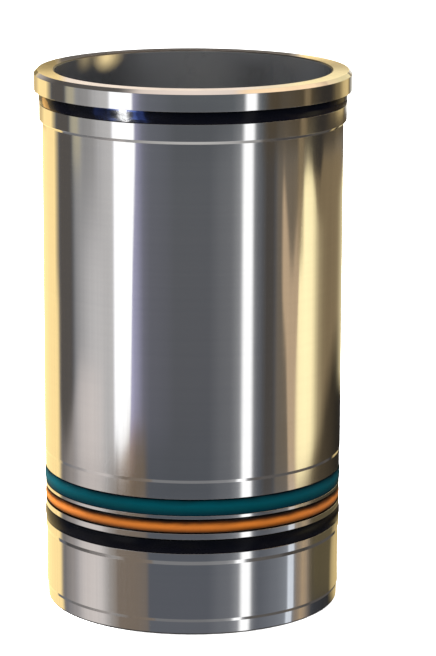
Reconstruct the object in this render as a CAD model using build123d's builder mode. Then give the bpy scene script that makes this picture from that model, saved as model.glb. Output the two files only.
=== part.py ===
from dataclasses import dataclass
import os

from build123d import *

# Wet cylinder liner with its four seals fitted, standing on its lower end.
# Millimetres, +Z up. The bore lies on the Z axis and the origin is the centre of the foot.

# Whole liner
liner_length = 266.5
bore_diameter = 136.0
bore_top_chamfer = 0.6
bore_foot_chamfer = 1.0

# Wall of the barrel, and how far each band of the outside stands out of it or lies below it
barrel_wall = 6.0
upper_land_step = 1.5
collar_step = 2.5
seal_land_step = 0.3
tail_step = 0.4
lead_in_step = 0.4

# Heights of the upper end, from the top face down
collar_height = 9.8
neck_height = 6.4
upper_land_height = 8.0
upper_taper_height = 1.5

# Heights of the lower end, from the foot up
lead_in_height = 6.5
foot_taper_height = 1.5
tail_height = 27.4
tail_taper_height = 1.9
bottom_land_height = 3.7
lower_groove_height = 7.2
lower_rib_height = 2.8
middle_groove_height = 7.4
upper_rib_height = 1.6
upper_groove_height = 8.3
top_land_height = 8.0
barrel_taper_height = 1.5

# Edges, groove depths, and how far the lead-in narrows towards the foot
collar_top_chamfer = 1.7
neck_depth = 2.7
groove_depth = 2.7
lead_in_narrowing = 0.3

# Seals: clearance below and above each one in its groove, how far it stands out, and its crown's rise
seal_gap_below = 0.15
collar_seal_gap_above = 0.15
collar_seal_proud = 0.3
collar_seal_bulge = 0.3
ring_gap_above = 0.5
ring_proud = 0.3
ring_bulge = 0.4
round_ring_gap_below = 0.6
round_ring_gap_above = 1.2
round_ring_proud = 0.1
round_ring_bulge = 0.6

# How closely a rim's height is matched
level_tolerance = 0.001

# Radii, outwards from the bore: larger towards the collar, smaller towards the foot
bore_radius = bore_diameter / 2
barrel_radius = bore_radius + barrel_wall
upper_land_radius = barrel_radius + upper_land_step
collar_radius = upper_land_radius + collar_step
seal_land_radius = barrel_radius - seal_land_step
tail_radius = seal_land_radius - tail_step
lead_in_radius = tail_radius - lead_in_step
foot_radius = lead_in_radius - lead_in_narrowing

# Levels above the foot, upper end
collar_underside = liner_length - collar_height
neck_bottom = collar_underside - neck_height
upper_land_bottom = neck_bottom - upper_land_height
barrel_top = upper_land_bottom - upper_taper_height

# Levels above the foot, lower end
tail_bottom = lead_in_height + foot_taper_height
tail_top = tail_bottom + tail_height
seal_land_bottom = tail_top + tail_taper_height
lower_groove_bottom = seal_land_bottom + bottom_land_height
middle_groove_bottom = lower_groove_bottom + lower_groove_height + lower_rib_height
upper_groove_bottom = middle_groove_bottom + middle_groove_height + upper_rib_height
seal_land_top = upper_groove_bottom + upper_groove_height + top_land_height
barrel_bottom = seal_land_top + barrel_taper_height


@dataclass
class Seat:
    """A groove turned into a land, and the seal that lies in it."""

    seal_name: str
    bottom: float
    height: float
    land_radius: float
    depth: float
    gap_below: float
    gap_above: float
    proud: float
    bulge: float

    @property
    def top(self):
        return self.bottom + self.height

    @property
    def floor_radius(self):
        return self.land_radius - self.depth

    @property
    def crown_radius(self):
        return self.land_radius + self.proud


collar_seat = Seat("collar_seal", neck_bottom, neck_height, upper_land_radius, neck_depth,
                   seal_gap_below, collar_seal_gap_above, collar_seal_proud, collar_seal_bulge)
upper_seat = Seat("upper_seal_ring", upper_groove_bottom, upper_groove_height, seal_land_radius,
                  groove_depth, seal_gap_below, ring_gap_above, ring_proud, ring_bulge)
middle_seat = Seat("middle_seal_ring", middle_groove_bottom, middle_groove_height, seal_land_radius,
                   groove_depth, round_ring_gap_below, round_ring_gap_above, round_ring_proud,
                   round_ring_bulge)
lower_seat = Seat("lower_seal_ring", lower_groove_bottom, lower_groove_height, seal_land_radius,
                  groove_depth, seal_gap_below, ring_gap_above, ring_proud, ring_bulge)
seats = [collar_seat, upper_seat, middle_seat, lower_seat]


def rims_at(part, height):
    """Circular rims of a turned part at one height, smallest first."""
    circles = part.edges().filter_by(GeomType.CIRCLE)
    rims = circles.filter_by_position(Axis.Z, height - level_tolerance, height + level_tolerance)
    return rims.sort_by(SortBy.RADIUS)


def make_seal(seat):
    """D-section ring: its flat back lies on the groove floor and its crown faces out."""
    bottom = seat.bottom + seat.gap_below
    top = seat.top - seat.gap_above
    shoulder_radius = seat.crown_radius - seat.bulge
    with BuildPart() as seal:
        with BuildSketch(Plane.XZ):
            with BuildLine():
                Polyline((shoulder_radius, top), (seat.floor_radius, top),
                         (seat.floor_radius, bottom), (shoulder_radius, bottom))
                ThreePointArc((shoulder_radius, bottom), (seat.crown_radius, (bottom + top) / 2),
                              (shoulder_radius, top))
            make_face()
        revolve(axis=Axis.Z)
    seal.part.label = seat.seal_name
    return seal


# Liner: turned outline, then the grooves, then the chamfers at both ends
with BuildPart() as liner:
    with BuildSketch(Plane.XZ):
        with BuildLine():
            Polyline((bore_radius, 0),
                     (foot_radius, 0),
                     (lead_in_radius, lead_in_height),
                     (tail_radius, tail_bottom),
                     (tail_radius, tail_top),
                     (seal_land_radius, seal_land_bottom),
                     (seal_land_radius, seal_land_top),
                     (barrel_radius, barrel_bottom),
                     (barrel_radius, barrel_top),
                     (upper_land_radius, upper_land_bottom),
                     (upper_land_radius, collar_underside),
                     (collar_radius, collar_underside),
                     (collar_radius, liner_length),
                     (bore_radius, liner_length),
                     close=True)
        make_face()
    revolve(axis=Axis.Z)

    with BuildSketch(Plane.XZ):
        for seat in seats:
            with Locations((seat.land_radius, seat.bottom + seat.height / 2)):
                Rectangle(2 * seat.depth, seat.height)
    revolve(axis=Axis.Z, mode=Mode.SUBTRACT)

    chamfer(rims_at(liner, liner_length)[-1], collar_top_chamfer)
    chamfer(rims_at(liner, liner_length)[0], bore_top_chamfer)
    chamfer(rims_at(liner, 0)[0], bore_foot_chamfer)

liner.part.label = "liner"

# Seals
seals = [make_seal(seat) for seat in seats]

os.makedirs("parts", exist_ok=True)
for piece in [liner] + seals:
    export_step(piece.part, f"parts/{piece.part.label}.step")
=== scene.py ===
from math import atan2, ceil, cos, hypot, pi, radians, sin, tan

import bpy
from mathutils import Euler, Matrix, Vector


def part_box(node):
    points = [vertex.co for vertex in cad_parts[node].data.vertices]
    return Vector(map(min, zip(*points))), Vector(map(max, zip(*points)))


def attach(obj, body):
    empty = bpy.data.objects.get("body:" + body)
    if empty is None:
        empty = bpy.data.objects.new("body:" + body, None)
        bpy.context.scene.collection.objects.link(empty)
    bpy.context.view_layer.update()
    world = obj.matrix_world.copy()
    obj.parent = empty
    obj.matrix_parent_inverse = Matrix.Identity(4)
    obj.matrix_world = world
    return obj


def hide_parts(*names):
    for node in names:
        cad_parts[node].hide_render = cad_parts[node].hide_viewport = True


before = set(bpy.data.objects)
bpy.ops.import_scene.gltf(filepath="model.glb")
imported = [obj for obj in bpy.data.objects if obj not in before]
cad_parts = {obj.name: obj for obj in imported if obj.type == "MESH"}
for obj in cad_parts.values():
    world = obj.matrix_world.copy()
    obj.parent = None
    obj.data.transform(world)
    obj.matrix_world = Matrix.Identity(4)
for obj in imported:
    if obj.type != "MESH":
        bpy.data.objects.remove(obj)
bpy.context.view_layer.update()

# Lengths are metres and angles degrees, unless a name says otherwise.

# Turned meshes: how finely they are read and turned
LENGTH_DIGITS = 5
SEGMENTS = 384

# Broken edges: their radii, the most of a side that one may take, and the turn of one step
EDGE_RADIUS = 0.12e-3
FOOT_EDGE_RADIUS = 0.8e-3
RUBBER_EDGE_RADIUS = 0.35e-3
EDGE_SHARE = 0.4
ARC_STEP = 25

# Corners of the rubber that turn by less than this belong to its round crown and stay smooth
RUBBER_SMOOTH_TURN = 20

# The liner's finishes, by their place in its list of materials
GROUND, FACED, HONED, CUT_AND_SHADED = range(4)

# Where the finishes meet: how far the bore's chamfers and the two ends reach, and how much of a
# normal points up or down on a flat face and on a slope
CHAMFER_REACH = 1.1e-3
END_REACH = 0.2e-3
FLAT = 0.95
SLOPE = 0.3

# Honing: how far the scratches lean, how many lie round the bore, and how far they wander
HONING_LEAN = 25
HONING_STARTS = ((210, 1), (337, 1), (233, -1), (371, -1))
HONING_WANDER = 14.0

# Camera: a long lens on the liner's front, a little above it, looking down
CAMERA_PLACE = (0, -1.541, 0.479)
CAMERA_DOWN = 12.533
CAMERA_RIGHT = 0.468
CAMERA_ROLL = 0.19
LENS_MM = 173.9
SENSOR_MM = 36
NEAREST_SEEN = 0.05
FARTHEST_SEEN = 50

# Studio: boards stand on a wide circle round the liner and are seen only in its reflections.
# Each layer stands a step nearer, a board has a column every few degrees, and its streaks are faint.
STUDIO_CENTRE = Vector((0, 0, 0.13))
BOARD_DISTANCE = 2.0
LAYER_STEP = 0.02
COLUMN_STEP = 3
STREAK = 0.09

# Elevations where most boards end, and where those behind the liner do
LOW = -60
HIGH = 8
WALL_TOP = 34

WHITE = (1.0, 1.0, 1.0)
GOLD = (1.0, 0.75, 0.34)
PALE_GOLD = (1.0, 0.85, 0.48)
PALE = (1.0, 0.97, 0.88)
CREAM = (1.0, 0.86, 0.73)
TAN = (1.0, 0.73, 0.46)
TAUPE = (0.30, 0.24, 0.19)
UMBER = (0.30, 0.22, 0.14)
BROWN = (0.30, 0.22, 0.122)
OLIVE = (0.30, 0.24, 0.13)
SOFT_GOLD = (1.0, 0.90, 0.63)
WARM_GREY = (1.0, 0.97, 0.955)
SAND_GREY = (1.0, 0.90, 0.85)
COOL_GREY = (0.62, 0.66, 0.72)
BEAM_GREY = (0.115, 0.118, 0.130)
PEACH = (1.0, 0.68, 0.47)
VIOLET = (0.72, 0.70, 1.0)
SOOT = (0.12, 0.107, 0.096)
GRIME = (0.004, 0.0035, 0.003)
BLACK = (0.012, 0.011, 0.010)

# Room seen in reflections, from straight down to straight up: elevation and colour
ROOM = [
    (-90, (0.95, 0.93, 0.90)),
    (-60, (0.50, 0.49, 0.48)),
    (-53, (0.25, 0.25, 0.26)),
    (-46, (0.26, 0.26, 0.27)),
    (-41, (0.30, 0.30, 0.31)),
    (-33, (0.28, 0.28, 0.29)),
    (-25.5, (0.185, 0.193, 0.215)),
    (-20.3, (0.150, 0.162, 0.192)),
    (-18.0, (0.140, 0.150, 0.176)),
    (-16.9, (0.150, 0.156, 0.178)),
    (-16.2, (0.150, 0.172, 0.205)),
    (-15.6, (0.106, 0.112, 0.124)),
    (-15.1, (0.116, 0.124, 0.140)),
    (-14, (0.143, 0.147, 0.163)),
    (-10.6, (0.153, 0.158, 0.172)),
    (-7.5, (0.160, 0.176, 0.188)),
    (-4, (0.150, 0.160, 0.187)),
    (30, (0.12, 0.12, 0.125)),
    (42, (0.34, 0.33, 0.32)),
    (60, (0.50, 0.48, 0.46)),
    (70, (1.15, 0.98, 0.86)),
    (90, (1.30, 1.10, 0.97)),
]

# White surroundings that the camera and matt surfaces see, and the floor
SURROUND = 1.5
FLOOR_REACH = 6.0
FLOOR_COLOUR = (0.95, 0.95, 0.95)

# Colour sockets of a Mix node
MIX_FIRST = 6
MIX_SECOND = 7
MIX_RESULT = 2


class Graph:
    """Adds and links the nodes of one node tree."""

    def __init__(self, tree):
        self.tree = tree
        tree.nodes.clear()

    def add(self, kind, inputs=None, **settings):
        node = self.tree.nodes.new("ShaderNode" + kind)
        for name, value in settings.items():
            setattr(node, name, value)
        for name, value in (inputs or {}).items():
            self.feed(node, name, value)
        return node

    def feed(self, node, name, value):
        """Links a socket to an input, or sets the input to a plain value."""
        if isinstance(value, bpy.types.NodeSocket):
            self.tree.links.new(value, node.inputs[name])
        else:
            node.inputs[name].default_value = value

    def math(self, operation, first, second=0.0):
        return self.add("Math", {0: first, 1: second}, operation=operation).outputs[0]

    def blend(self, factor, first, second):
        """Mixes two colours by a factor."""
        node = self.add("Mix", data_type="RGBA")
        self.feed(node, 0, factor)
        for socket, colour in ((MIX_FIRST, first), (MIX_SECOND, second)):
            is_socket = isinstance(colour, bpy.types.NodeSocket)
            self.feed(node, socket, colour if is_socket else (*colour, 1))
        return node.outputs[MIX_RESULT]

    def spread(self, value, low, high, from_low=0.0, from_high=1.0):
        """Maps a value into the range from low to high."""
        inputs = {0: value, 1: from_low, 2: from_high, 3: low, 4: high}
        return self.add("MapRange", inputs).outputs[0]

    def ramp(self, factor, stops):
        """Colours along a factor. Each stop is a place from 0 to 1 and a colour."""
        node = self.add("ValToRGB", {0: factor})
        elements = node.color_ramp.elements
        while len(elements) < len(stops):
            elements.new(0.5)
        for element, (place, colour) in zip(elements, stops):
            element.position = place
            element.color = (*colour, 1)
        return node.outputs[0]


def new_material(name):
    material = bpy.data.materials.new(name)
    material.use_nodes = True
    return material, Graph(material.node_tree)


def add_object(name, data):
    piece = bpy.data.objects.new(name, data)
    bpy.context.scene.collection.objects.link(piece)
    return piece


# Turned meshes

def section_of(node):
    """Corners of a turned node's closed half section, as radius and height, walked in order."""
    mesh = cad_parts[node].data
    corners = [
        (round(hypot(v.co.x, v.co.y), LENGTH_DIGITS), round(v.co.z, LENGTH_DIGITS))
        for v in mesh.vertices
    ]
    beside = {}
    for edge in mesh.edges:
        first, second = (corners[i] for i in edge.vertices)
        if first != second:
            beside.setdefault(first, set()).add(second)
            beside.setdefault(second, set()).add(first)
    walk = [max(beside)]
    last = None
    while True:
        following = min(c for c in beside[walk[-1]] if c != last)
        last = walk[-1]
        if following == walk[0]:
            break
        walk.append(following)
    area = sum(a[0] * b[1] - b[0] * a[1] for a, b in zip(walk, walk[1:] + walk[:1]))
    return [Vector(c) for c in (walk if area > 0 else walk[::-1])]


def rounded_section(corners, radius_at, smooth_turn):
    """Points and outward normals along a section, with each corner broken by a small arc."""
    points, normals = [], []
    count = len(corners)
    for i, corner in enumerate(corners):
        before = corner - corners[i - 1]
        after = corners[(i + 1) % count] - corner
        room = EDGE_SHARE * min(before.length, after.length)
        before.normalize()
        after.normalize()
        turn = atan2(before.cross(after), before.dot(after))
        start_angle = atan2(-before.x, before.y)
        if abs(turn) < radians(smooth_turn):
            middle = start_angle + turn / 2
            points.append(corner)
            normals.append((cos(middle), sin(middle)))
            continue
        reach = min(radius_at(corner) * tan(abs(turn) / 2), room)
        arc_radius = reach / tan(abs(turn) / 2)
        side = 1 if turn > 0 else -1
        out = Vector((cos(start_angle), sin(start_angle)))
        centre = corner - before * reach - side * arc_radius * out
        steps = max(2, ceil(abs(turn) / radians(ARC_STEP)))
        for k in range(steps + 1):
            angle = start_angle + turn * k / steps
            normal = Vector((cos(angle), sin(angle)))
            points.append(centre + side * arc_radius * normal)
            normals.append(tuple(normal))
    return points, normals


def turn_piece(name, node, materials, pick, radius_at, smooth_turn=0):
    """A finely turned mesh of a CAD node, which it replaces.

    pick chooses a strip's material from its middle and the upward part of its normal, and
    radius_at the radius of a corner's broken edge from the corner.
    """
    points, normals = rounded_section(section_of(node), radius_at, smooth_turn)
    count = len(points)
    strip_slot = []
    for i in range(count):
        j = (i + 1) % count
        middle = (points[i] + points[j]) / 2
        strip_slot.append(pick(middle, (normals[i][1] + normals[j][1]) / 2))
    vertices, vertex_normals, faces, slots = [], [], [], []
    for s in range(SEGMENTS):
        angle = 2 * pi * s / SEGMENTS
        x, y = cos(angle), sin(angle)
        vertices += [(p.x * x, p.x * y, p.y) for p in points]
        vertex_normals += [(n[0] * x, n[0] * y, n[1]) for n in normals]
        a = s * count
        b = (s + 1) % SEGMENTS * count
        for i in range(count):
            j = (i + 1) % count
            faces.append((a + i, b + i, b + j, a + j))
            slots.append(strip_slot[i])
    mesh = bpy.data.meshes.new(name)
    mesh.from_pydata(vertices, [], faces)
    for material in materials:
        mesh.materials.append(material)
    mesh.polygons.foreach_set("material_index", slots)
    mesh.polygons.foreach_set("use_smooth", [True] * len(faces))
    mesh.update()
    mesh.normals_split_custom_set_from_vertices(vertex_normals)
    piece = add_object(name, mesh)
    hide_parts(node)
    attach(piece, "root")
    return piece


# Materials

def own_place(graph):
    """Place on the piece, in metres."""
    return graph.add("TexCoord").outputs["Object"]


def turn_angle(graph, x, y):
    return graph.math("ARCTAN2", y, x)


def axis_distance(graph, x, y):
    squares = graph.math("ADD", graph.math("MULTIPLY", x, x), graph.math("MULTIPLY", y, y))
    return graph.math("SQRT", squares)


def stretched_noise(graph, place, scale, detail=3.0, roughness=0.55):
    """Noise in object space, with its own scale along each axis, per metre."""
    mapped = graph.add("Mapping", {"Vector": place, "Scale": scale}).outputs[0]
    settings = {"Vector": mapped, "Scale": 1.0, "Detail": detail, "Roughness": roughness}
    return graph.add("TexNoise", settings).outputs[0]


def ground_iron():
    """Outside of the liner: ground and polished on centres, with fine rings round it."""
    material, graph = new_material("ground_iron")
    place = own_place(graph)
    rings = stretched_noise(graph, place, (9, 9, 5200), 4.0, 0.7)
    bands = stretched_noise(graph, place, (4, 4, 420), 3.0)
    smudges = stretched_noise(graph, place, (34, 34, 17), 4.0)
    tone = graph.spread(graph.math("ADD", rings, bands), 0.0, 1.0, 0.6, 1.4)
    colour = graph.blend(tone, (0.603, 0.603, 0.607), (0.637, 0.635, 0.632))
    sheen = graph.spread(smudges, 0.05, 0.085, 0.3, 0.7)
    roughness = graph.math("ADD", sheen, graph.spread(rings, 0.0, 0.02))
    relief = graph.math("ADD", graph.math("MULTIPLY", rings, 0.35), bands)
    bump = graph.add("Bump", {"Strength": 0.05, "Distance": 2e-6, "Height": relief}).outputs[0]
    tangent = graph.add("Tangent", direction_type="RADIAL", axis="Z").outputs[0]
    shader = graph.add("BsdfPrincipled", {
        "Base Color": colour, "Metallic": 1.0, "Roughness": roughness, "Normal": bump,
        "Anisotropic": 0.3, "Anisotropic Rotation": 0.25, "Tangent": tangent})
    graph.add("OutputMaterial", {0: shader.outputs[0]})
    return material


def faced_iron():
    """End faces: faced on the lathe, with rings about the axis and a few handling scratches."""
    material, graph = new_material("faced_iron")
    place = own_place(graph)
    x, y = graph.add("SeparateXYZ", {0: place}).outputs[:2]
    across = graph.add("CombineXYZ", {
        0: graph.math("MULTIPLY", axis_distance(graph, x, y), 4200),
        1: graph.math("MULTIPLY", turn_angle(graph, x, y), 1.5)}).outputs[0]
    rings = graph.add("TexNoise", {"Vector": across, "Scale": 1.0, "Detail": 3.0}).outputs[0]
    scratches = stretched_noise(graph, place, (90, 900, 40), 2.0)
    smudges = stretched_noise(graph, place, (60, 60, 60), 3.0)
    tone = graph.spread(smudges, 0.2, 0.8, 0.3, 0.7)
    colour = graph.blend(tone, (0.70, 0.68, 0.65), (0.80, 0.77, 0.74))
    sheen = graph.spread(rings, 0.030, 0.045)
    roughness = graph.math("ADD", sheen, graph.spread(scratches, 0.0, 0.012, 0.45, 0.7))
    relief = graph.math("ADD", rings, graph.math("MULTIPLY", scratches, 0.4))
    bump = graph.add("Bump", {"Strength": 0.03, "Distance": 3e-6, "Height": relief}).outputs[0]
    shader = graph.add("BsdfPrincipled", {
        "Base Color": colour, "Metallic": 1.0, "Roughness": roughness, "Normal": bump})
    graph.add("OutputMaterial", {0: shader.outputs[0]})
    return material


def honed_iron(bore_radius):
    """Bore: plateau honed, with two crossing sets of fine helical scratches."""
    material, graph = new_material("honed_iron")
    place = own_place(graph)
    x, y, z = graph.add("SeparateXYZ", {0: place}).outputs
    angle = turn_angle(graph, x, y)
    drift = stretched_noise(graph, place, (150, 150, 150), 2.0)
    wander = graph.math("MULTIPLY", drift, HONING_WANDER)
    hatch = None
    for starts, lean in HONING_STARTS:
        climb = lean * starts / (bore_radius * tan(radians(HONING_LEAN)))
        turns = graph.math("MULTIPLY", angle, float(starts))
        phase = graph.math("ADD", turns, graph.math("MULTIPLY", z, climb))
        wave = graph.math("SINE", graph.math("ADD", phase, wander))
        line = graph.math("POWER", graph.spread(wave, 0.0, 1.0, -1.0, 1.0), 3.0)
        hatch = line if hatch is None else graph.math("ADD", hatch, line)
    smudges = stretched_noise(graph, place, (40, 40, 22), 3.0)
    tone = graph.spread(hatch, 0.0, 1.0, 0.0, 4.0)
    colour = graph.blend(tone, (0.38, 0.39, 0.41), (0.50, 0.51, 0.53))
    sheen = graph.spread(smudges, 0.24, 0.32, 0.3, 0.7)
    roughness = graph.math("ADD", sheen, graph.math("MULTIPLY", tone, 0.05))
    bump = graph.add("Bump", {"Strength": 0.25, "Distance": 6e-6, "Height": hatch}).outputs[0]
    shader = graph.add("BsdfPrincipled", {
        "Base Color": colour, "Metallic": 0.96, "Roughness": roughness, "Normal": bump})
    graph.add("OutputMaterial", {0: shader.outputs[0]})
    return material


def cut_and_shaded_iron():
    """Broken edges of the bore and the foot, rougher and darker than the rest: cut finish on the bore's
    chamfers, painted shade on the foot's outer edge.
    """
    material, graph = new_material("cut_and_shaded_iron")
    place = own_place(graph)
    chatter = stretched_noise(graph, place, (700, 700, 2400), 3.0)
    stains = stretched_noise(graph, place, (60, 60, 60), 3.0)
    tone = graph.spread(stains, 0.0, 1.0, 0.3, 0.7)
    colour = graph.blend(tone, (0.07, 0.068, 0.066), (0.13, 0.125, 0.12))
    roughness = graph.spread(chatter, 0.36, 0.5)
    bump = graph.add("Bump", {"Strength": 0.3, "Distance": 1e-5, "Height": chatter}).outputs[0]
    shader = graph.add("BsdfPrincipled", {
        "Base Color": colour, "Metallic": 1.0, "Roughness": roughness, "Normal": bump})
    graph.add("OutputMaterial", {0: shader.outputs[0]})
    return material


def seal_rubber(node, stops, grime, specular, roughness):
    """Moulded seal rubber: flecked with grime, faintly mottled, with a soft sheen and with shade
    painted into its colour by height.

    Each stop is a share of the seal's height, from its foot up, and the colour there. grime is the
    most that the dark specks cover.
    """
    material, graph = new_material(node + "_rubber")
    place = own_place(graph)
    z = graph.add("SeparateXYZ", {0: place}).outputs[2]
    low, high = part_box(node)
    share = graph.spread(z, 0.0, 1.0, low.z, high.z)
    mottle = stretched_noise(graph, place, (90, 90, 240), 4.0)
    grain = stretched_noise(graph, place, (2600, 2600, 2600), 2.0)
    drift = graph.math("ADD", share, graph.spread(mottle, -0.04, 0.04, 0.3, 0.7))
    # Painted shade: the colour follows the stops up the seal's height.
    painted_shade = graph.ramp(drift, stops)
    colour = graph.blend(graph.spread(mottle, 0.0, grime, 0.35, 0.7), painted_shade, GRIME)
    sheen = graph.spread(mottle, roughness, roughness + 0.06, 0.3, 0.7)
    rough = graph.math("ADD", sheen, graph.spread(grain, 0.0, 0.03))
    bump = graph.add("Bump", {"Strength": 0.12, "Distance": 2e-5, "Height": grain}).outputs[0]
    shader = graph.add("BsdfPrincipled", {
        "Base Color": colour, "Roughness": rough, "Normal": bump,
        "Specular IOR Level": specular})
    graph.add("OutputMaterial", {0: shader.outputs[0]})
    return material


# Liner: one turned piece, with a finish of its own on the outside, the end faces and in the bore
liner_foot, liner_top = (corner.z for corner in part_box("liner"))
bore_radius = min(corner.x for corner in section_of("liner"))


def liner_edge(corner):
    """Radius of a corner's broken edge. The foot's outer edge has the widest."""
    at_foot = corner.y < liner_foot + END_REACH
    outside = corner.x > bore_radius + CHAMFER_REACH
    return FOOT_EDGE_RADIUS if at_foot and outside else EDGE_RADIUS


def liner_finish(middle, up):
    """Finish of a strip, from its middle and the upward part of its normal."""
    if middle.x < bore_radius + CHAMFER_REACH:
        on_chamfer = middle.x > bore_radius + END_REACH and abs(up) > SLOPE
        return CUT_AND_SHADED if on_chamfer else HONED
    # The foot's rounded outer edge takes the dark edge finish as painted shade where the liner meets
    # the floor.
    if middle.y < liner_foot + FOOT_EDGE_RADIUS and abs(up) < FLAT:
        return CUT_AND_SHADED
    at_end = middle.y > liner_top - END_REACH or middle.y < liner_foot + END_REACH
    return FACED if at_end and abs(up) > FLAT else GROUND


def rubber_edge(corner):
    return RUBBER_EDGE_RADIUS


def rubber_finish(middle, up):
    return 0


liner_materials = [ground_iron(), faced_iron(), honed_iron(bore_radius), cut_and_shaded_iron()]
liner = turn_piece("liner_turned", "liner", liner_materials, liner_finish, liner_edge)

# Seals: each turned from its own node, in its own rubber
# Colours up each seal's height. On the teal and orange rings they are painted shade: dark at the lower
# and upper edges, brightest just above the middle. The black seals only grow darker towards the top.
BLACK_STOPS = [
    (0.0, (0.0011, 0.0011, 0.0022)),
    (0.3, (0.0008, 0.0009, 0.0018)),
    (1.0, (0.0004, 0.0006, 0.0012)),
]
TEAL_PAINTED_SHADE = [
    (0.0, (0.0002, 0.007, 0.011)),
    (0.15, (0.0, 0.009, 0.013)),
    (0.35, (0.0, 0.016, 0.020)),
    (0.6, (0.0, 0.0210, 0.0275)),
    (0.8, (0.0, 0.0155, 0.0205)),
    (0.92, (0.0, 0.008, 0.011)),
    (1.0, (0.0001, 0.003, 0.005)),
]
ORANGE_PAINTED_SHADE = [
    (0.0, (0.02, 0.008, 0.002)),
    (0.12, (0.05, 0.013, 0.001)),
    (0.26, (0.11, 0.031, 0.003)),
    (0.42, (0.180, 0.051, 0.006)),
    (0.58, (0.198, 0.057, 0.007)),
    (0.74, (0.12, 0.034, 0.004)),
    (0.88, (0.03, 0.008, 0.001)),
    (1.0, (0.006, 0.002, 0.001)),
]

# Each row is the node, its slot, its colours up its height with their painted shade, the most that dark
# specks cover, gloss and roughness
SEALS = [
    ("collar_seal", "black_rubber", BLACK_STOPS, 0.1, 0.045, 0.06),
    ("upper_seal_ring", "teal_rubber", TEAL_PAINTED_SHADE, 0.1, 0.006, 0.4),
    ("middle_seal_ring", "orange_rubber", ORANGE_PAINTED_SHADE, 0.2, 0.03, 0.4),
    ("lower_seal_ring", "black_rubber", BLACK_STOPS, 0.2, 0.045, 0.16),
]
seals = {}
for node, slot, stops, grime, specular, roughness in SEALS:
    rubber = [seal_rubber(node, stops, grime, specular, roughness)]
    seal = turn_piece(node + "_moulded", node, rubber, rubber_finish, rubber_edge, RUBBER_SMOOTH_TURN)
    seals[node] = seal


# Studio boards

def direction(azimuth, elevation):
    """Unit vector. Azimuth 0 is towards the front, -Y, and 90 is towards +X."""
    a, e = radians(azimuth), radians(elevation)
    return Vector((sin(a) * cos(e), -cos(a) * cos(e), sin(e)))


def board_glow():
    """Glow and cover come from the board's mesh, with a few faint upright streaks."""
    material, graph = new_material("board_glow")
    drawn = graph.add("Attribute", attribute_name="glow")
    streaks = stretched_noise(graph, own_place(graph), (26, 26, 0.5), 4.0, 0.6)
    strength = graph.spread(streaks, 1 - STREAK, 1 + STREAK, 0.3, 0.7)
    lit = graph.add("Emission", {"Color": drawn.outputs["Color"], "Strength": strength})
    clear = graph.add("BsdfTransparent")
    both = graph.add("MixShader", {0: drawn.outputs["Alpha"], 1: clear.outputs[0], 2: lit.outputs[0]})
    graph.add("OutputMaterial", {0: both.outputs[0]})
    material.cycles.emission_sampling = "NONE"
    return material


def refined(columns):
    """The same columns, with others set evenly between them so that the board stays round."""
    fine = [columns[0]]
    for first, second in zip(columns, columns[1:]):
        steps = max(1, ceil((second[0] - first[0]) / COLUMN_STEP))
        for k in range(1, steps + 1):
            fine.append(tuple(a + (b - a) * k / steps for a, b in zip(first, second)))
    return fine


def board(name, colour, glow, layer, columns, feather=0.6):
    """A glowing board seen only in reflections, bent round the liner.

    glow is the strength of its colour. A board of a higher layer stands nearer the liner and hides
    those of lower ones. Each column is azimuth, bottom, top, and how much it covers what lies
    behind it. Past its bottom and top the board fades out over the feather, in degrees.
    """
    distance = BOARD_DISTANCE - layer * LAYER_STEP
    places, glows, faces = [], [], []
    fine = refined(columns)
    for azimuth, bottom, top, cover in fine:
        rows = [(bottom, -1, 0), (bottom, -0.5, 0.5), (bottom, 0, 1),
                (top, 0, 1), (top, 0.5, 0.5), (top, 1, 0)]
        for edge, beyond, share in rows:
            rise = Vector((0, 0, tan(radians(edge + beyond * feather))))
            places.append(STUDIO_CENTRE + distance * (direction(azimuth, 0) + rise))
            glows.append((*(glow * c for c in colour), share * cover))
    count = len(rows)
    for i in range(len(fine) - 1):
        for j in range(count - 1):
            a = i * count + j
            faces.append((a, a + count, a + count + 1, a + 1))
    mesh = bpy.data.meshes.new(name)
    mesh.from_pydata(places, [], faces)
    drawn = mesh.color_attributes.new("glow", "FLOAT_COLOR", "POINT")
    for item, value in zip(drawn.data, glows):
        item.color = value
    mesh.materials.append(board_material)
    piece = add_object(name, mesh)
    piece.visible_camera = False
    piece.visible_diffuse = False
    piece.visible_shadow = False


def upright(bottom, top, posts):
    """Columns that share one bottom and top. Each post is azimuth and cover."""
    return [(azimuth, bottom, top, cover) for azimuth, cover in posts]


board_material = board_glow()

# Straight ahead: a dim beam that the land under the collar shows
board("beam_front", BEAM_GREY, 1.0, layer=1, feather=0.12, columns=upright(-5.7, -4.95, [
    (-32, 0), (-22, 0.3), (-12, 1), (12, 1), (22, 0.6), (30, 0),
]))

# Left of the camera and behind it on that side, from the back forwards
board("gold_wall_left", GOLD, 1.5, layer=0, columns=[
    (172, -26, HIGH, 0), (178, -27, HIGH, 0.8), (182, -28, HIGH, 1), (221, -28, HIGH, 1),
    (226, -24, HIGH, 1), (230, -24, HIGH, 1), (233.5, -24, HIGH, 0.5), (239, -24, HIGH, 0),
])
board("gold_wall_low_left", GOLD, 1.5, layer=1, feather=1.5, columns=upright(-24, -11.5, [
    (225, 0), (229, 1), (233, 1), (237, 0.2), (241, 0),
]))
board("lintel_far_left", UMBER, 1.0, layer=2, feather=0.2, columns=upright(-5.6, HIGH, [
    (184, 0), (192, 0.55), (203, 0.6), (209, 0.4), (215, 0),
]))
board("post_left", SOOT, 1.1, layer=1, feather=8, columns=upright(-17, HIGH, [
    (-123, 0), (-119, 0.95), (-106, 0.95), (-101, 0),
]))
board("grey_wall_left", WARM_GREY, 0.8, layer=3, columns=upright(LOW, HIGH, [
    (-104, 0), (-102, 0.10), (-99, 0.35), (-95, 0.42), (-88, 0.50), (-82, 0.60), (-77, 0.70),
    (-73, 0.78), (-68, 0.88), (-63, 0.95), (-60, 1),
]))
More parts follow.
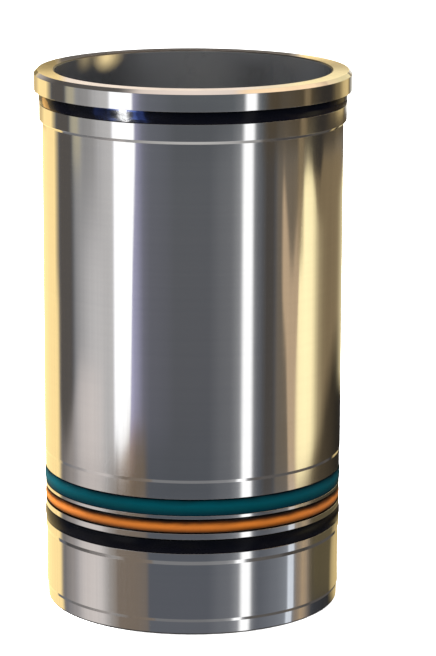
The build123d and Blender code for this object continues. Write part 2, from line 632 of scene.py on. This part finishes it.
board("grey_wall_mid_left", WARM_GREY, 0.95, layer=4, feather=1.5, columns=upright(LOW, -9.5, [
    (-98, 0), (-94, 0.13), (-88, 0.32), (-83, 0.46), (-78, 0.52), (-73, 0.42), (-68, 0.1), (-64, 0),
]))
board("grey_wall_low_left", SAND_GREY, 1.0, layer=5, feather=1.2, columns=[
    (-127, LOW, -15.6, 0), (-121, LOW, -15.6, 0.10), (-114, LOW, -16.2, 0.22), (-107, LOW, -15.6, 0.36),
    (-100, LOW, -14.2, 0.42), (-95, LOW, -13.6, 0.6), (-88, LOW, -13.6, 0.74), (-83, LOW, -13.6, 0.75),
    (-78, LOW, -13.6, 0.65), (-73, LOW, -13.6, 0.42), (-68, LOW, -13.6, 0),
])
board("post_edge_left", SOFT_GOLD, 0.66, layer=5, feather=0.5, columns=upright(-6.2, HIGH, [
    (-104, 0), (-100, 0.8), (-95, 0.9), (-91, 0.1), (-89, 0),
]))
board("grey_shade_left", SOOT, 1.5, layer=6, feather=1.5, columns=upright(-6.3, HIGH, [
    (-93, 0), (-88, 0.28), (-80, 0.3), (-74, 0),
]))
board("violet_glow_left", VIOLET, 1.0, layer=7, columns=upright(-14.8, HIGH, [
    (-62, 0), (-60, 0.8), (-46, 0.8), (-44, 0.6), (-41, 0.42), (-37, 0.15), (-32, 0.06), (-20, 0.03),
    (-13, 0),
]))
board("window_left", WHITE, 1.8, layer=8, feather=0.3, columns=[
    (-62.0, -15.1, HIGH, 0), (-60.2, -15.1, HIGH, 1), (-55, -15.6, HIGH, 1), (-51, -15.35, HIGH, 1),
    (-49.3, -15.1, HIGH, 1), (-47.5, -14.0, HIGH, 1), (-45.8, -9.5, HIGH, 1), (-44.0, -6.5, HIGH, 1),
    (-42.5, -5.0, HIGH, 0),
])
board("sill_left", TAUPE, 0.95, layer=9, feather=0.3, columns=upright(-17.2, -16.1, [
    (-108, 0), (-100, 0.2), (-80, 0.3), (-72, 0.35), (-66, 0),
]))
board("shelf_left", TAUPE, 0.95, layer=10, columns=[
    (-76, LOW, -17.8, 0), (-70, LOW, -16.9, 0.3), (-66, LOW, -16.2, 0.6), (-61, LOW, -16.0, 0.85),
    (-57, LOW, -16.1, 1), (-50, LOW, -15.7, 1), (-46, LOW, -15.3, 1), (-41, LOW, -14.9, 0.9),
    (-38, LOW, -15.6, 0.8), (-35.5, LOW, -17.5, 0.75), (-33, LOW, -18.0, 0),
])
board("shelf_edge_left", UMBER, 0.75, layer=11, feather=0.3, columns=[
    (-56, -17.0, -15.9, 0), (-50, -17.0, -15.3, 1), (-44, -17.0, -14.9, 1), (-37, -16.6, -14.9, 0.8),
    (-33, -16.4, -15.0, 0),
])
board("shelf_glow_left", PEACH, 0.46, layer=12, feather=0.3, columns=[
    (-61, -16.2, -15.6, 0), (-57, -16.2, -15.8, 0.8), (-50, -16.0, -15.3, 0.9),
    (-46, -15.8, -14.9, 0.8), (-42, -15.6, -14.7, 0),
])

# Right of the camera, from the front backwards
board("halo_right", WHITE, 1.7, layer=1, columns=upright(LOW, -5.8, [
    (12, 0), (20, 0.03), (30, 0.05), (34, 0.09), (36, 0.12), (43, 0.12), (47, 0.05), (53, 0),
]))
board("window_right", WHITE, 1.7, layer=2, columns=upright(LOW, HIGH, [
    (28, 0), (35.4, 0.06), (36.6, 0.28), (38, 0.85), (39, 1), (44, 1), (45, 0.8), (46, 0.28),
    (47.3, 0.05), (50, 0),
]))
board("gap_right", SOOT, 0.85, layer=3, feather=2, columns=upright(-16.5, HIGH, [
    (52, 0), (57, 1), (62, 1), (67, 0),
]))
board("brown_wall_right", BROWN, 1.0, layer=3, feather=1.2, columns=upright(-16.5, -6.5, [
    (64, 0), (67, 0.5), (90, 0.75), (105, 1), (112, 1), (119, 1), (150, 1), (180, 0),
]))
board("lintel_right", BROWN, 0.40, layer=4, feather=0.5, columns=upright(-5.6, HIGH, [
    (49, 0), (55, 0.7), (82, 0.95), (92, 1), (150, 1), (168, 0.8), (182, 0),
]))
board("lintel_dark_right", SOOT, 0.35, layer=5, feather=0.3, columns=[
    (92, -5.9, HIGH, 0), (97, -5.9, HIGH, 0.6), (103, -6.6, HIGH, 0.9), (112, -6.8, HIGH, 0.95),
    (117, -5.9, HIGH, 0.8), (122, -5.9, -5.0, 0.7), (134, -5.9, -5.0, 0.7), (141, -5.9, -5.0, 0),
])
board("lintel_edge_right", BROWN, 1.15, layer=7, feather=1.0, columns=upright(-9, HIGH, [
    (84, 0), (87, 0.8), (90, 0.8), (93, 0),
]))
board("gold_head_right", GOLD, 1.0, layer=6, feather=0.2, columns=upright(-4.9, HIGH, [
    (116, 0), (121, 0.08), (129, 0.22), (137, 0.8), (146, 0.95), (151, 0.3), (154, 0),
]))
board("pale_head_right", PALE, 1.0, layer=7, feather=0.2, columns=upright(-4.9, HIGH, [
    (152, 0), (156, 0.3), (161, 0.75), (169, 1), (180, 1), (190, 0),
]))
board("gold_edge_right", PALE_GOLD, 1.0, layer=6, feather=0.8, columns=[
    (138, -13.4, -7.8, 0), (145, -13.4, -7.8, 0.06), (153, -13.4, -7.8, 0.35), (161, -13.6, -7.4, 0.75),
    (170, -13.8, -7.0, 1), (182, -14.0, -7.0, 1), (190, -14.0, -7.0, 0),
])
board("low_corner_right", BLACK, 1.5, layer=5, feather=1.8, columns=[
    (100, LOW, -17.2, 0), (106, LOW, -16.6, 0.5), (114, LOW, -16.2, 0.7), (122, LOW, -15.0, 0.75),
    (135, LOW, -13.8, 0.85), (150, LOW, -13.2, 0.95), (172, LOW, -13.4, 0.95), (182, LOW, -14, 0),
])
board("streak_right", TAN, 0.85, layer=6, feather=0.8, columns=[
    (69.5, -9.6, -7.4, 0), (72, -10.8, -7.2, 0.95), (75, -12.0, -8.4, 0.85), (78, -16.2, -9.8, 0.8),
    (81, -17.3, -10.0, 0.8), (85, -17.3, -8.6, 0.85), (88, -17.3, -7.4, 0.8), (91, -17, -6.6, 0),
])
board("gold_window_right", PALE_GOLD, 1.75, layer=7, feather=0.5, columns=[
    (83.0, -15.6, -14.2, 0), (86, -16.2, -11.8, 0.6), (88.5, -16.4, -8.8, 1), (92, -16.4, -7.0, 1),
    (96, -16.2, -6.7, 1), (101, -15.9, -6.9, 0.95), (105, -15.6, -7.5, 0.72), (108, -15.4, -8.2, 0.4),
    (112, -15.2, -8.6, 0.16), (118, -15.0, -8.6, 0.04), (124, -15.0, -8.0, 0),
])
board("haze_low_right", COOL_GREY, 0.9, layer=6, feather=0.3, columns=upright(-27, -17.6, [
    (50, 0), (60, 0.12), (68, 0.22), (77, 0.4), (79, 0.5), (84, 1), (86, 0.3), (89, 0),
]))
board("slot_low_right", COOL_GREY, 1.6, layer=7, feather=0.3, columns=upright(-27, -17.6, [
    (78, 0), (80, 1), (84.5, 1), (86, 0),
]))
board("tan_low_right", TAN, 0.6, layer=6, feather=0.3, columns=upright(LOW, -17.6, [
    (85, 0), (88, 0.45), (92, 0.6), (95, 1), (99, 0.8), (104, 0.3), (109, 0),
]))
board("olive_low_right", OLIVE, 0.5, layer=6, feather=0.4, columns=upright(-20.3, -17.6, [
    (100, 0), (106, 0.8), (112, 1), (135, 1), (182, 1), (190, 0),
]))
board("gold_strip_right", GOLD, 1.0, layer=7, feather=0.8, columns=[
    (136, -21.4, -19.8, 0), (142, -21.4, -19.0, 0.5), (148, -21.4, -18.7, 0.7),
    (160, -21.4, -18.7, 0.7), (182, -21.4, -18.7, 0.6), (190, -21.4, -18.7, 0),
])

# Low down on both sides, which the small tapers show
board("barrel_line_left", BLACK, 3.0, layer=12, feather=0.5, columns=[
    (-128, -28.4, -26.0, 0), (-122, -29.4, -27.0, 0.9), (-98.5, -33.5, -31.3, 0.9),
    (-80, -36.0, -34.0, 0.8), (-72, -37.0, -35.0, 0.5), (-64, -37.8, -35.8, 0),
])
board("foot_line_left", BLACK, 10, layer=12, feather=0.8, columns=[
    (-128, -34.6, -32.0, 0), (-120, -36.4, -33.6, 0.5), (-102, -40.5, -37.5, 0.6),
    (-85, -43.2, -40.4, 0.6), (-70, -46.0, -42.8, 0.6), (-56, -47.4, -44.4, 0),
])
board("taper_light_left", WHITE, 0.9, layer=11, feather=1, columns=upright(-44, -30, [
    (-172, 0), (-166, 1), (-154, 1), (-149, 0),
]))
board("taper_wall_right", SOOT, 1.1, layer=10, feather=1.5, columns=[
    (46, LOW, -28.5, 0), (54, LOW, -28.5, 0.85), (104, LOW, -28.5, 0.85), (126, LOW, -26, 0.85),
    (132, -48, -24, 0.9), (178, -48, -24, 0.9), (186, -48, -24, 0),
])
board("barrel_line_right", BLACK, 3.0, layer=12, feather=0.5, columns=[
    (78, -36.5, -34.3, 0), (86, -35.4, -33.2, 0.6), (104, -32.8, -30.6, 0.6), (112, -31.5, -29.3, 0),
])

# Behind the liner, which the top face shows
board("cream_wall_back", CREAM, 1.05, layer=1, feather=0.1, columns=[
    (120, 13, WALL_TOP, 0), (150, 12, WALL_TOP, 1), (176, 11.2, WALL_TOP, 1),
    (183, 11.2, WALL_TOP, 1), (187, 11.4, WALL_TOP, 1), (230, 14, WALL_TOP, 0),
])
board("gold_wall_back", PALE_GOLD, 1.12, layer=2, feather=0.06, columns=upright(11.74, WALL_TOP, [
    (120, 0), (140, 1), (176.4, 1), (178.4, 0),
]))
board("brown_strip_back", BROWN, 0.9, layer=2, feather=0.06, columns=upright(11.42, 11.72, [
    (160, 0), (164, 1), (176.6, 1), (177.4, 0),
]))
board("bright_strip_back", GOLD, 1.7, layer=2, feather=0.06, columns=upright(8, 11.36, [
    (160, 0), (164, 1), (176.3, 1), (176.7, 0),
]))
board("dim_wall_back", SOOT, 1.0, layer=3, feather=0.08, columns=[
    (176.5, 3, 11.5, 0), (176.9, 3, 11.5, 1), (182.6, 3, 11.55, 1), (183.4, 3, 11.7, 1),
    (184.3, 3, 11.8, 1), (184.6, 3, 11.8, 0),
])
board("tan_wall_back", GOLD, 0.32, layer=4, feather=0.08, columns=upright(3, 11.84, [
    (184.3, 0), (184.5, 1), (200, 1), (206, 0),
]))
board("gold_end_back", GOLD, 1.2, layer=3, feather=0.08, columns=upright(11.84, WALL_TOP, [
    (184.1, 0), (184.4, 1), (200, 1), (206, 0),
]))

# High up on both sides, which the collar's chamfer shows
board("chamfer_shade_left", SOOT, 1.0, layer=4, feather=3, columns=[
    (-150, 12, 24, 0), (-136, 21, 37, 0.9), (-118, 35, 52, 0.9), (-98, 48, 64, 0.9), (-84, 54, 68, 0),
])
board("gold_high_right", TAN, 1.6, layer=4, feather=4, columns=[
    (70, 50, 72, 0), (85, 42, 70, 1), (125, 30, 62, 1), (145, 26, 56, 0),
])

# Floor
floor_signs = ((-1, -1), (1, -1), (1, 1), (-1, 1))
floor_corners = [(FLOOR_REACH * x, FLOOR_REACH * y, 0) for x, y in floor_signs]
floor_mesh = bpy.data.meshes.new("floor")
floor_mesh.from_pydata(floor_corners, [], [(0, 1, 2, 3)])
floor = add_object("floor", floor_mesh)
floor_material, floor_graph = new_material("pale_floor")
floor_shader = floor_graph.add("BsdfDiffuse", {"Color": (*FLOOR_COLOUR, 1)})
floor_graph.add("OutputMaterial", {0: floor_shader.outputs[0]})
floor_mesh.materials.append(floor_material)
floor.visible_glossy = False
floor.visible_shadow = False


# Lights

def aimed_lamp(name, kind, azimuth, elevation, distance, target, watts):
    """A lamp that looks at the target and has no reflection of its own."""
    lamp = bpy.data.lights.new(name, kind)
    lamp.energy = watts
    place = add_object(name, lamp)
    out = direction(azimuth, elevation)
    place.location = target + distance * out
    place.rotation_euler = out.to_track_quat("Z", "Y").to_euler()
    place.visible_glossy = False
    return lamp


def softbox(name, azimuth, elevation, distance, size, watts):
    """A soft square light aimed at the liner."""
    lamp = aimed_lamp(name, "AREA", azimuth, elevation, distance, STUDIO_CENTRE, watts)
    lamp.shape = "SQUARE"
    lamp.size = size


def keep_to(lamp_name, pieces):
    """Lets a lamp light these pieces only."""
    only = bpy.data.collections.new(lamp_name + "_only")
    for piece in pieces:
        only.objects.link(piece)
    bpy.data.objects[lamp_name].light_linking.receiver_collection = only


# Two soft lights for the seals and the floor, which leave the bore to its own lamps.
# Each row is azimuth, elevation, distance, size and watts
SOFTBOXES = [
    ("key_left", -130, 20, 1.6, 0.7, 270),
    ("fill_right", 42, 30, 1.8, 1.0, 36),
]
for name, azimuth, elevation, distance, size, watts in SOFTBOXES:
    softbox(name, azimuth, elevation, distance, size, watts)
    keep_to(name, [*seals.values(), floor])

# Panels that only the collar seal's gloss shows.
# Each row is azimuth, elevation, width, height, watts and colour
SEAL_PANELS = [
    ("seal_glint", -52.0, -9, 0.08, 1.5, 1450, WHITE),
    ("seal_halo", -53, -9, 0.80, 1.4, 500, (0.16, 0.30, 1.0)),
    ("seal_haze", -56, -9, 1.5, 1.4, 230, (0.12, 0.24, 1.0)),
    ("seal_gold", -142, -9, 0.5, 1.4, 12, (1.0, 0.5, 0.12)),
]
collar_top = Vector((0, 0, liner_top))
for name, azimuth, elevation, width, height, watts, colour in SEAL_PANELS:
    panel = aimed_lamp(name, "AREA", azimuth, elevation, BOARD_DISTANCE, collar_top, watts)
    panel.shape = "RECTANGLE"
    panel.size = width
    panel.size_y = height
    panel.color = colour
    place = bpy.data.objects[name]
    place.visible_glossy = True
    place.visible_diffuse = False
    keep_to(name, [seals["collar_seal"]])

# Lamps that shine over the rim onto the bore's wall. Each row is the lamp's azimuth and elevation,
# the wall's azimuth, the depth below the rim, the cone's angle, its softness, watts and colour
BORE_LAMPS = [
    ("bore_middle", -6, 40, -178, 0.016, 8.0, 1.0, 52, WHITE),
    ("bore_right", -46, 40, 128, 0.014, 7.0, 1.0, 40, WHITE),
    ("bore_patch", 79, 6, -140, 0.0014, 0.50, 0.3, 900, GOLD),
    ("bore_streak", 79, 6, -127, 0.0006, 0.30, 0.6, 240, GOLD),
]
BORE_LAMP_DISTANCE = 0.6
BORE_LAMP_RADIUS = 0.004
for name, azimuth, elevation, wall, depth, cone, softness, watts, colour in BORE_LAMPS:
    target = bore_radius * direction(wall, 0) + Vector((0, 0, liner_top - depth))
    lamp = aimed_lamp(name, "SPOT", azimuth, elevation, BORE_LAMP_DISTANCE, target, watts)
    lamp.spot_size = radians(cone)
    lamp.spot_blend = softness
    lamp.shadow_soft_size = BORE_LAMP_RADIUS
    lamp.color = colour
    keep_to(name, [liner])

# World: white to the camera and matt surfaces, and the dim room in reflections
world = bpy.data.worlds.new("studio")
world.use_nodes = True
bpy.context.scene.world = world
graph = Graph(world.node_tree)
up = graph.add("SeparateXYZ", {0: graph.add("TexCoord").outputs["Generated"]}).outputs[2]
room_stops = [((sin(radians(elevation)) + 1) / 2, colour) for elevation, colour in ROOM]
room_colour = graph.ramp(graph.spread(up, 0.0, 1.0, -1.0, 1.0), room_stops)
room = graph.add("Background", {"Color": room_colour})
backdrop = graph.add("Background", {"Color": (1, 1, 1, 1), "Strength": SURROUND})
mirrored = graph.add("LightPath").outputs["Is Glossy Ray"]
both = graph.add("MixShader", {0: mirrored, 1: backdrop.outputs[0], 2: room.outputs[0]})
graph.add("OutputWorld", {0: both.outputs[0]})
world.cycles.sampling_method = "NONE"

# Camera
camera = bpy.data.cameras.new("camera")
camera.lens = LENS_MM
camera.sensor_width = SENSOR_MM
camera.clip_start = NEAREST_SEEN
camera.clip_end = FARTHEST_SEEN
eye = add_object("camera", camera)
eye.location = CAMERA_PLACE
aim = Euler((radians(90 - CAMERA_DOWN), 0, -radians(CAMERA_RIGHT)), "XYZ").to_matrix()
roll = Euler((0, 0, radians(CAMERA_ROLL)), "XYZ").to_matrix()
eye.rotation_euler = (aim @ roll).to_euler()
bpy.context.scene.camera = eye
bpy.context.scene.view_settings.view_transform = "Standard"
